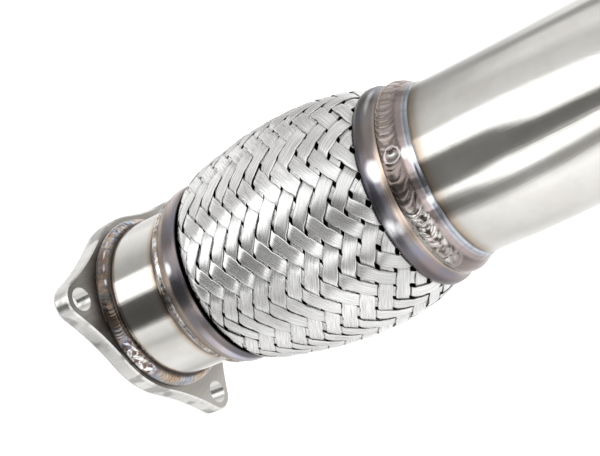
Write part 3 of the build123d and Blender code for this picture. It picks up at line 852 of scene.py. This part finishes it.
def flange_ripple(th, s):
    q = facing_deg(th)
    arch = 0.8 * (2 * s - 1) ** 2
    ends = np.sin(math.pi * np.clip(s, 0, 1)) ** 0.6
    fine_p = q / 2.9 + arch + 0.45 * lumps(th, 7, 3)
    coarse_p = q / 4.6 + 1.3 * arch + 0.5 * lumps(th, 7, 4)
    calm = bell(q, -33.0, 17.0)
    fine = wave(fine_p) * (0.4 + 0.9 * each(fine_p, 1))
    coarse = wave(coarse_p) * (0.5 + 0.8 * each(coarse_p, 2))
    pearl = gate(q, 14, 43, 1.2)
    patch = gate(q, -86, -46, 2.0)
    stones = pebbles(th, s, 64, 1.9, 5)
    calm = np.maximum(calm, 0.8 * gate(q, -24, 8, 3.0))
    h = (0.15 * (1 - 0.7 * calm) * fine + 0.10 * lumps(th, 9, 5)) * (1 - pearl) * (1 - 0.6 * patch)
    h = h + patch * (0.16 * coarse + 0.20 * pebbles(th, s, 120, 3.0, 9) - 0.08)
    h = h + pearl * (0.85 * stones + 0.10 * coarse - 0.22)
    light = 0.5 + 0.35 * (1 - 0.6 * calm) * fine * (1 - pearl) + pearl * (1.1 * stones - 0.3) + 0.12 * lumps(th, 17, 15)
    # sunk toes on the plate and on the tube
    return ends * h - 0.05, light


flange_bead = bead("flange_bead", fillet, [(PIPE_R - 0.3, FLANGE_T + 5.6), (PIPE_R - 0.3, FLANGE_T + 0.02)], 1300, flange_ripple)
paint(flange_bead, M_WELD_F)
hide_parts("flange_weld")
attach(flange_bead, "flange_end")

# lower cap weld: narrow, smooth and shiny, with a few soft lumps
u, r = smooth_line([(12.0, 41.5), (13.2, 41.6), (14.7, 41.0), (16.5, 39.5), (18.5, 38.1)], 0.42)


def lower_ripple(th, s):
    q = facing_deg(th)
    ridge = np.exp(-(((s - 0.27) / 0.17) ** 2))
    soft = 0.10 * lumps(th, 9, 11) + 0.06 * wave(q / 3.6 + 0.5 * (2 * s - 1) ** 2)
    h = np.clip(ridge * (0.30 + soft) + 0.04 * lumps(th, 14, 12) * (1 - s), -0.3, 0.6) * np.clip(s * 8, 0, 1)
    return h, 0.5 + 0.4 * wave(q / 3.6 + 0.5 * (2 * s - 1) ** 2) + 0.3 * lumps(th, 19, 13)


lower_bead = bead("lower_bead", np.stack([r, LOWER_RIM - u], -1), [(PIPE_R - 0.3, LOWER_RIM - 18.5), (PIPE_R - 0.3, LOWER_RIM - CAP_L)], 720, lower_ripple)
paint(lower_bead, M_WELD_LO)
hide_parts("lower_cap_weld")
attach(lower_bead, "flange_end")

# upper cap weld: rows of crescents over the cap's neck, a smooth dark band and
# a bright toe, its brightness partly painted highlights
u, r = smooth_line([(8.4, 41.9), (9.2, 42.25), (11.4, 42.55), (13.6, 42.1), (15.6, 40.95), (17.6, 39.8), (20.0, 38.85), (22.2, 38.1)], 0.34)


def upper_ripple(th, s):
    q = facing_deg(th)
    plain = gate(q, 58, 150, 1.5)
    coarse = gate(q, 13, 51, 2.0)
    mid = gate(q, -17, 13, 2.0)
    centre = 0.36 - 0.02 * mid + 0.07 * coarse
    half = 0.27 - 0.05 * coarse
    w = (s - centre) / half
    body = 1 / (1 + np.exp((np.abs(w) - 1.0) / 0.10))
    fine_p = q / 4.5 + 1.0 * w**2 + 0.5 * lumps(th, 7, 21)
    mid_p = q / 5.6 + 1.0 * w**2 + 0.3 * w + 0.5 * lumps(th, 7, 23)
    big_p = q / 5.6 + 1.2 * w**2 + 0.5 * lumps(th, 7, 22)
    fine = wave(fine_p) * (0.5 + 0.9 * each(fine_p, 3))
    midd = wave(mid_p) * (0.4 + 0.9 * each(mid_p, 4))
    big = wave(big_p) * (0.5 + 0.8 * each(big_p, 5))
    stones = pebbles(th, s, 46, 3.6, 11)
    rows = (1 - coarse) * ((1 - mid) * 0.34 * fine + mid * 0.34 * midd) + coarse * (0.30 * big + 0.55 * stones - 0.1)
    rows = rows * (1 + 0.45 * gate(q, -90, -28, 3.0))
    level = 0.10 + 0.08 * lumps(th, 7, 24)
    h = body * (level + rows) * (1 - 0.9 * plain)
    # outside the rows the metal lies flush with the cap's neck
    h = h - 0.28 * (1 - body) * gate(s, -1, 0.42, 0.04) - 0.10 * plain * gate(s, -1, 0.5, 0.05)
    light = 0.5 + body * ((1 - coarse) * 0.52 * ((1 - mid) * fine + mid * midd) + coarse * (0.2 * big + 0.85 * stones - 0.3)) * (1 - 0.8 * plain)
    # two craters where the bead was stopped
    for cq, cs, wq, ws, depth, k in ((-20.0, 0.42, 4.2, 0.19, 0.75, 2.0), (52.0, 0.46, 4.6, 0.16, 0.60, 2.6)):
        d = (np.abs((q - cq) / wq) ** k + np.abs((s - cs) / ws + 0.25 * (q - cq) / wq) ** k) ** (1 / k)
        inside = np.exp(-((d / 1.15) ** 4))
        ring = np.exp(-(((d - 1.05) / 0.22) ** 2))
        h = h * (1 - inside) + (0.34 if cq < 0 else 0.20) * ring + inside * (0.10 - depth * np.exp(-((d / 0.55) ** 2)))
        light = light * (1 - inside) + inside * (0.5 + 0.35 * np.exp(-((d / 0.4) ** 2))) + (0.35 if cq < 0 else 0.12) * ring
    h = h + 0.12 * np.exp(-(((s - 0.93) / 0.035) ** 2)) + 0.05 * lumps(th, 11, 25) * gate(s, 0.62, 0.97, 0.03)
    return h, light


upper_bead = bead("upper_bead", np.stack([r, UPPER_RIM + u], -1), [(PIPE_R - 0.3, UPPER_RIM + 22.2), (PIPE_R - 0.3, UPPER_RIM + 9.0)], 1300, upper_ripple)
paint(upper_bead, M_WELD_HI)
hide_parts("upper_cap_weld")
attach(upper_bead, "pipe_end")

# ------------------------------------------------------------------ braid
BRAID_LINE = [
    (LOWER_RIM - 4.2, 39.6),
    (LOWER_RIM - 2.0, 39.9),
    (LOWER_RIM + 0.0, 40.9),
    (LOWER_RIM + 2.4, 43.4),
    (LOWER_RIM + 7.2, 46.6),
    (LOWER_RIM + 16.7, 48.6),
    (LOWER_RIM + 26.7, 50.3),
    (LOWER_RIM + 36.7, 51.6),
    (LOWER_RIM + 45.7, 52.3),
    (LOWER_RIM + 54.7, 52.6),
    (LOWER_RIM + 64.7, 52.2),
    (LOWER_RIM + 74.7, 50.9),
    (LOWER_RIM + 82.7, 49.3),
    (LOWER_RIM + 90.7, 46.9),
    (UPPER_RIM - 1.3, 44.3),
    (UPPER_RIM + 0.3, 42.6),
    (UPPER_RIM + 2.2, 41.0),
    (UPPER_RIM + 4.4, 39.95),
]
line_z, line_r = smooth_line(BRAID_LINE, 0.25)

LAY = 1.714  # degrees of turn per mm of height
PITCH = 15.0  # degrees between ribbons that run the same way
MID_Z = 100.0  # height of a crossing that faces 6 degrees off the camera
MID_DEG = 6.0
WIRES = 9
LIFT = 0.42  # how far a ribbon rises and dips
THICK = 0.40


def weave_height(m, centre):
    c = np.cos(2 * math.pi * (m - centre) / 4)
    return np.tanh(2.5 * c) / math.tanh(2.5 * 0.7071)


def ribbons(name, way, mat, steps=190):
    """24 ribbons of parallel wires, wound one way (+1 or -1)."""
    verts, faces, uvs, depth = [], [], [], []
    z0, z1 = LOWER_RIM - 2.5, UPPER_RIM + 2.8
    zc = np.linspace(z0, z1, steps)
    per = 2
    nw = WIRES * per + 1
    centre = 3.5 if way > 0 else 1.5
    base = 0
    for i in range(24):
        jr = np.random.default_rng(1000 * (way + 2) + i)
        drift = jr.normal(0, 0.34) + jr.normal(0, 0.50) * np.sin(zc / 24.0 + jr.uniform(0, 6.28))
        spread = 1.0 + jr.normal(0, 0.03) + 0.045 * np.sin(zc / 13.0 + jr.uniform(0, 6.28))
        rc = np.interp(zc, line_z, line_r)
        # ribbons crowd together towards the caps
        width = np.clip(6.36 * (rc / 52.0) ** 0.7, 5.3, 6.4) * spread
        width = width * (0.99 - 0.035 * np.clip((zc - 85.0) / 55.0, 0, 1))
        # bundles lie a little tilted, one way and then the other
        roll = jr.normal(0, 0.022) + 0.034 * np.sin(zc / jr.uniform(5.5, 10.0) + jr.uniform(0, 6.28))
        deg = MID_DEG + way * LAY * (zc - MID_Z) + PITCH * i + drift
        # pinched a little beside each open corner of the weave
        gap = i + (deg - MID_DEG + way * LAY * (zc - MID_Z)) / PITCH - centre
        width = width * (1 - 0.12 * np.exp(-(((gap - np.round(gap)) / 0.16) ** 4)))
        slope = math.radians(LAY) * rc  # turn per height, as a length ratio
        length = np.sqrt(1 + slope**2)
        # unit vector across the ribbon in (height, round) terms
        ch = -way * slope / length
        ca = 1.0 / length
        v = np.linspace(-0.5, 0.5, nw)[None, :] * width[:, None]
        zz = zc[:, None] + ch[:, None] * v
        zz_c = np.clip(zz, line_z[0], line_z[-1])
        rr = np.interp(zz_c, line_z, line_r)
        dd = deg[:, None] + np.degrees(ca[:, None] * v / rr)
        # where this point lies on the other set of ribbons
        other = (dd - MID_DEG + way * LAY * (zz - MID_Z)) / PITCH
        m = i + other
        g = weave_height(m, centre)
        fade = np.clip((zz - (LOWER_RIM - 1)) / 3.0, 0.35, 1) * np.clip(((UPPER_RIM + 1) - zz) / 3.0, 0.35, 1)
        k = np.arange(nw) % per
        wires = np.where(k == 0, -0.035, 0.016)[None, :]
        wires = wires + jr.normal(0, 0.004, nw)[None, :]
        edge = -0.07 * (np.abs(np.linspace(-1, 1, nw)) ** 6)[None, :]
        top = rr - LIFT + LIFT * g * fade + wires + edge - 0.08 + roll[:, None] * v
        ang = np.radians(dd + FACING)
        p_top = np.stack([top * np.cos(ang), top * np.sin(ang), zz], -1)
        lo = top - THICK
        p_lo = np.stack([lo * np.cos(ang), lo * np.sin(ang), zz], -1)
        pts = np.concatenate([p_top, p_lo[:, -1:, :], p_lo[:, :1, :]], 1)
        n = pts.shape[1]
        verts.append(pts.reshape(-1, 3))
        f = grid_faces(steps, n, False, True, offset=base, flip=(way > 0))
        faces += f
        faces.append([base + q for q in range(n)][:: (1 if way < 0 else -1)])
        faces.append([base + (steps - 1) * n + q for q in range(n)][:: (-1 if way < 0 else 1)])
        run = np.cumsum(np.concatenate([[0], np.diff(zc)])) * length
        uu = np.repeat(run[:, None], n, 1) + 40.0 * i
        across = np.concatenate([np.linspace(0.02, 0.90, nw), [0.93, 0.0]])
        vv = np.repeat((i + across)[None, :], steps, 0)
        uvs.append(np.stack([uu, vv], -1).reshape(-1, 2))
        place = np.concatenate([m, m[:, -1:], m[:, :1]], 1) - centre + 40.0
        rim = np.concatenate([np.abs(np.linspace(-1, 1, nw)), [1.0, 1.0]])[None, :] + 0 * place
        depth.append(np.stack([place, rim], -1).reshape(-1, 2))
        base += steps * n
    verts = np.concatenate(verts)
    obj = make_mesh(name, verts, faces)
    add_uv(obj, "strand", np.concatenate(uvs))
    add_uv(obj, "weave", np.concatenate(depth))
    paint(obj, mat)
    return obj


braid_a = ribbons("braid_ribbons_a", 1, M_BRAID_A)
braid_b = ribbons("braid_ribbons_b", -1, M_BRAID_B)
for b in (braid_a, braid_b):
    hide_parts("outer_braid")
    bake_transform(b)

# ------------------------------------------------------------------ inside
def bellows_loop():
    h = 0.25
    lo, hi = LOWER_RIM - CAP_L, UPPER_RIM + CAP_L
    z0, z1 = LOWER_RIM + 7.0, UPPER_RIM - 8.0
    n = 9
    p = (z1 - z0) / n
    root, crest = 38.95, 44.8
    zs = np.linspace(0, 1, 22 * n + 1)
    out = []
    for t in zs:
        c = math.cos(2 * math.pi * t * n)
        s = math.copysign(abs(c) ** 0.55, c)
        out.append((root + (crest - root) * (0.5 - 0.5 * s), z0 + (z1 - z0) * t))
    line = [(38.35, lo), (38.35, z0 - 3.0)] + out + [(38.35, z1 + 3.0), (38.35, hi)]
    a = [(r + h, z) for r, z in line]
    b = [(r - h, z) for r, z in line[::-1]]
    return a + b


bellows = turned("bellows_skin", bellows_loop(), seg=96)
paint(bellows, M_BELLOWS)
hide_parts("bellows")
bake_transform(bellows)


def liner_loop():
    lo, hi = LOWER_RIM - INSERT, UPPER_RIM + INSERT
    end = 5.0
    n = int((hi - lo - 2 * end) / 6.0)
    p = (hi - lo - 2 * end) / n
    t = 0.5
    a = BORE_R
    b = BORE_R + 0.85
    outer = [(PIPE_R, lo), (PIPE_R, lo + end)]
    inner = [(a, lo)]
    for k in range(n):
        z = lo + end + k * p
        inner += [(a, z + t), (b, z + t + 0.15), (b, z + p / 2 - 0.15), (a, z + p / 2)]
        outer += [(b + t, z), (b + t, z + p / 2 + t), (a + t, z + p / 2 + t), (a + t, z + p)]
    outer += [(PIPE_R, hi - end + 0.001), (PIPE_R, hi)]
    inner += [(a, hi)]
    return outer + inner[::-1]


liner = turned("liner_skin", liner_loop(), seg=128)
paint(liner, M_LINER)
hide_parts("interlock_liner")
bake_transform(liner)

paint(nodes["flange"], M_FLANGE)
nodes["flange"].visible_glossy = False

# ------------------------------------------------------------------ studio
scene = bpy.context.scene
scene.view_settings.view_transform = "Standard"
scene.view_settings.look = "None"
scene.view_settings.exposure = 0.0
scene.view_settings.gamma = 1.0


def ramp_stops(pairs):
    return [((a + 180.0) / 360.0, c) for a, c in pairs]


world = bpy.data.worlds.new("studio")
scene.world = world
world.use_nodes = True
g = Tree(world.node_tree)
out = g.add("ShaderNodeOutputWorld")
direction = g.add("ShaderNodeTexCoord").outputs["Generated"]
wx, wy, wz, wang = facing_coords(g, direction)
pos = g.math("ADD", g.math("DIVIDE", wang, 360.0), 0.5)
elev = g.math("MULTIPLY", g.math("ARCSINE", wz), 180 / math.pi)
LOW_BAND = [
    (-180, 1.2),
    (-160, 1.0),
    (-140, 0.95),
    (-122, 1.2),
    (-102, 0.98),
    (-92, 0.86),
    (-82, 0.7),
    (-72, 0.59),
    (-62, 0.56),
    (-55, 0.56),
    (-51, 1.9),
    (-48, 2.0),
    (-25, 2.0),
    (-21, 1.0),
    (-17, 0.13),
    (0, 0.1),
    (16, 0.1),
    (22, 0.2),
    (28, 1.15),
    (42, 0.98),
    (52, 0.72),
    (62, 0.97),
    (77, 1.12),
    (102, 1.17),
    (122, 0.95),
    (133, 0.72),
    (143, 0.78),
    (155, 1.0),
    (168, 1.2),
    (180, 1.2),
]
MID_BAND = [
    (-180, 1.3),
    (-162, 1.12),
    (-153, 0.95),
    (-144, 0.61),
    (-134, 0.48),
    (-104, 0.58),
    (-93, 0.66),
    (-83, 0.75),
    (-72, 0.84),
    (-62, 0.9),
    (-54, 0.9),
    (-51, 1.9),
    (-48, 2.0),
    (-27, 2.0),
    (-24.5, 1.0),
    (-20.5, 0.26),
    (-10, 0.24),
    (12, 0.26),
    (18, 0.4),
    (20, 1.7),
    (25, 1.7),
    (30, 0.6),
    (38, 0.26),
    (48, 0.26),
    (56, 0.7),
    (61, 1.2),
    (72, 1.14),
    (122, 0.97),
    (152, 1.1),
    (180, 1.3),
]
HIGH_BAND = [
    (-180, 1.25),
    (-150, 1.25),
    (-136, 1.15),
    (-130, 0.5),
    (-122, 0.45),
    (-114, 0.95),
    (-96, 1.06),
    (-82, 0.82),
    (-66, 0.86),
    (-56, 0.95),
    (-51, 1.8),
    (-48, 2.0),
    (-17, 2.0),
    (-13, 1.0),
    (-9, 0.18),
    (8, 0.24),
    (13, 0.6),
    (17, 1.8),
    (33, 1.7),
    (37, 0.7),
    (41, 0.42),
    (50, 0.48),
    (56, 1.25),
    (64, 1.5),
    (82, 1.3),
    (120, 1.15),
    (150, 1.15),
    (180, 1.25),
]
WARM = (1.0, 0.985, 0.955)


def band(pairs, where):
    """Brightness round the horizon, as a ramp; the lights' own tint is warm
    where they are dim and white where they are bright."""
    stops = []
    for a, v in pairs:
        w = min(1.0, v / 1.6)
        stops.append((a, tuple(v / 2.0 * (c + (1 - c) * w) for c in WARM)))
    return g.ramp(where, ramp_stops(stops))


# where a feature of the high band lies in the middle band
MOVES = [(-180, -180), (-48, -48), (-17, -27), (-13, -24.5), (-9, -20.5), (8, 12), (13, 18), (17, 20), (33, 25), (37, 30), (41, 38), (50, 48), (56, 56), (64, 61), (180, 180)]


def moved(pairs, amount):
    offset = g.math("MULTIPLY", g.math("SUBTRACT", g.ramp(pos, ramp_stops([(a, (b - a + 20.0) / 40.0) for a, b in pairs])), 0.5), 40.0 / 360.0)
    return g.math("ADD", pos, g.math("MULTIPLY", offset, amount))


side = g.step(wang, -45.0, -58.0)
late = by_angle(g, wang, [(-180, 0.5), (-45, 0.5), (-30, 0.14), (-6, 0.14), (8, 0.84), (110, 0.84), (150, 0.5), (180, 0.5)])
height = g.math("ADD", elev, g.math("MULTIPLY", g.math("SUBTRACT", late, 0.5), 22.0))
rise = g.math("ADD", g.math("MULTIPLY", side, g.step(elev, -22.0, -2.0)), g.math("MULTIPLY", g.math("SUBTRACT", 1.0, side), g.step(height, -14.0, 8.0)))
low = band(LOW_BAND, pos)
mid = band(MID_BAND, moved(MOVES, rise))
high = band(HIGH_BAND, moved([(b, a) for a, b in MOVES], g.math("SUBTRACT", 1.0, rise)))
env = g.mix(g.step(elev, -33.0, -27.0), low, mid)
env = g.mix(rise, env, high)
behind = g.step(g.math("ABSOLUTE", wang), 95.0, 130.0)
roof = g.math("MAXIMUM", g.math("MULTIPLY", g.step(elev, 22.0, 38.0), behind), g.step(elev, 62.0, 80.0))
env = g.mix(roof, env, (0.26, 0.255, 0.245))
seen = g.add("ShaderNodeLightPath").outputs["Is Camera Ray"]
bg_env = g.add("ShaderNodeBackground", {"Color": env, "Strength": 2.0})
bg_cam = g.add("ShaderNodeBackground", {"Color": (0.97, 0.97, 0.97), "Strength": 1.0})
both = g.add("ShaderNodeMixShader")
g.put(both.inputs[0], seen)
g.put(both.inputs[1], bg_env.outputs[0])
g.put(both.inputs[2], bg_cam.outputs[0])
g.t.links.new(both.outputs[0], out.inputs[0])

# floor: a wide, flat pale sheet
n = 24
side = np.linspace(-3000, 3000, n)
fx, fy = np.meshgrid(side, side, indexing="ij")
fz = np.full_like(fx, -0.05)
floor = make_mesh("floor", np.stack([fx, fy, fz], -1).reshape(-1, 3), grid_faces(n, n, flip=False))
mat = bpy.data.materials.new("floor_paper")
mat.use_nodes = True
g = Tree(mat.node_tree)
out = g.add("ShaderNodeOutputMaterial")
bsdf = g.add("ShaderNodeBsdfPrincipled")
g.t.links.new(bsdf.outputs[0], out.inputs[0])
grain = g.noise(g.add("ShaderNodeTexCoord").outputs["Object"], 600.0, 2.0, 0.5)
g.put(bsdf.inputs["Base Color"], g.mix(grain, (0.90, 0.90, 0.90), (0.93, 0.93, 0.93)))
bsdf.inputs["Roughness"].default_value = 0.9
bsdf.inputs["Specular IOR Level"].default_value = 0.0
paint(floor, mat)
floor.visible_glossy = False


def area(name, loc, target, size, watts, glossy=False):
    data = bpy.data.lights.new(name, "AREA")
    data.shape = "RECTANGLE"
    data.size, data.size_y = size
    data.energy = watts
    obj = bpy.data.objects.new(name, data)
    scene.collection.objects.link(obj)
    obj.location = loc
    obj.rotation_euler = (Vector(target) - Vector(loc)).to_track_quat("-Z", "Y").to_euler()
    obj.visible_glossy = glossy
    return obj


area("overhead", (0.1, 0.0, 1.9), (0, 0, 0), (2.4, 2.4), 55.0)

cam_data = bpy.data.cameras.new("camera")
cam_data.sensor_fit = "HORIZONTAL"
cam_data.sensor_width = 36.0
cam_data.lens = 69.0
cam_data.clip_start = 0.01
cam = bpy.data.objects.new("camera", cam_data)
scene.collection.objects.link(cam)
cam.matrix_world = Matrix(
    (
        (0.3899205828698198, 0.3214673283353807, -0.8629140721226956, -0.44050040266575974),
        (-0.47266983835373166, 0.8740873641955922, 0.11204688154633977, 0.061167989838352966),
        (0.7902816984880248, 0.3641840696221004, 0.4927725646465801, 0.3474023034535906),
        (0, 0, 0, 1),
    )
)
scene.camera = cam
